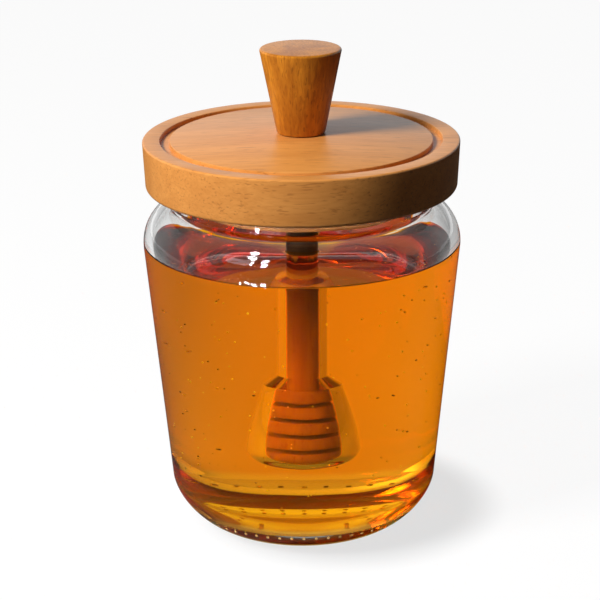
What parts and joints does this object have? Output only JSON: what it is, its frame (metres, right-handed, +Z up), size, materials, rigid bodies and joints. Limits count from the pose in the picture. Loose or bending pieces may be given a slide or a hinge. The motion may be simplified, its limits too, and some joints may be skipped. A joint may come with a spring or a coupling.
{
  "type": "glass honey jar with dipper",
  "caption": "Filled glass honey jar with a round shoulder, a turned wooden lid and knob, and a grooved wooden dipper standing in the honey.",
  "frame": {"origin": "middle of the jar's foot, on the surface that the jar stands on", "axes": "+Z up along the common axis of jar, lid, knob and dipper; the part is round about it, so X and Y are free"},
  "size_m": [0.097, 0.097, 0.1494],
  "materials": {
    "glass": "clear polished soda-lime glass",
    "honey": "clear amber honey with a glossy surface",
    "lid_wood": "satin lacquered hardwood, fine level grain",
    "knob_wood": "satin lacquered hardwood, upright grain",
    "dipper_wood": "plain turned hardwood soaked with honey"
  },
  "bodies": {
    "root": {"jar": "glass", "honey": "honey", "lid": "lid_wood", "knob": "knob_wood", "dipper": "dipper_wood"}
  },
  "joints": []
}
